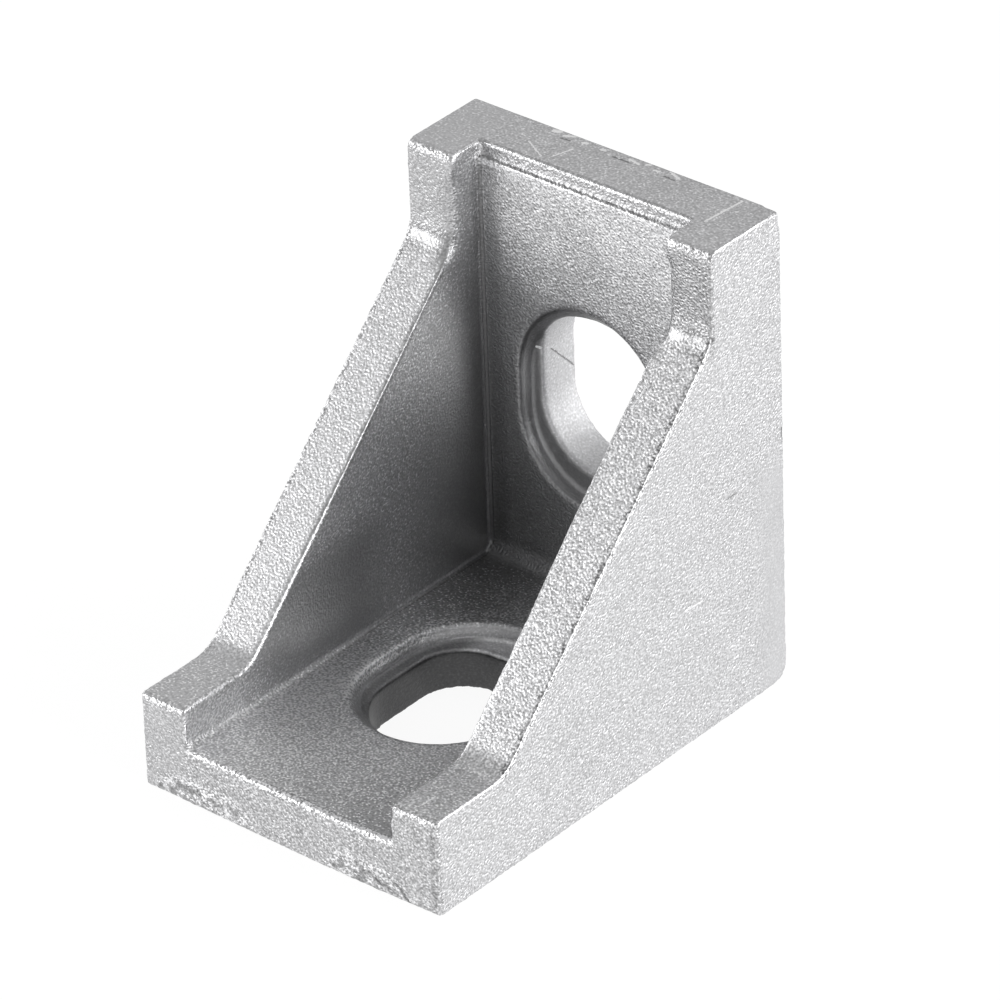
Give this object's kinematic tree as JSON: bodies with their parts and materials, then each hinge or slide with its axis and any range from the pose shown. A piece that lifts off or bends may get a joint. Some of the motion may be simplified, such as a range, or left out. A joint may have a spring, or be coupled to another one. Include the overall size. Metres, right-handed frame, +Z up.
{
  "type": "t slot corner bracket",
  "caption": "Cast right-angle corner bracket with side gussets and slotted, counterbored bolt holes, for joining T-slot framing profiles.",
  "frame": {"origin": "middle of the footprint on the base leg's mounting face, the bottom centre of the bounding box", "axes": "+X across the width, -Y towards the base leg's free end, +Y out of the upright leg's mounting face, +Z up the upright leg"},
  "size_m": [0.02, 0.028, 0.028],
  "materials": {
    "cast_aluminium": "shot-blasted die casting, matt with a fine sparkle"
  },
  "bodies": {
    "root": {"bracket": "cast_aluminium"}
  },
  "joints": []
}
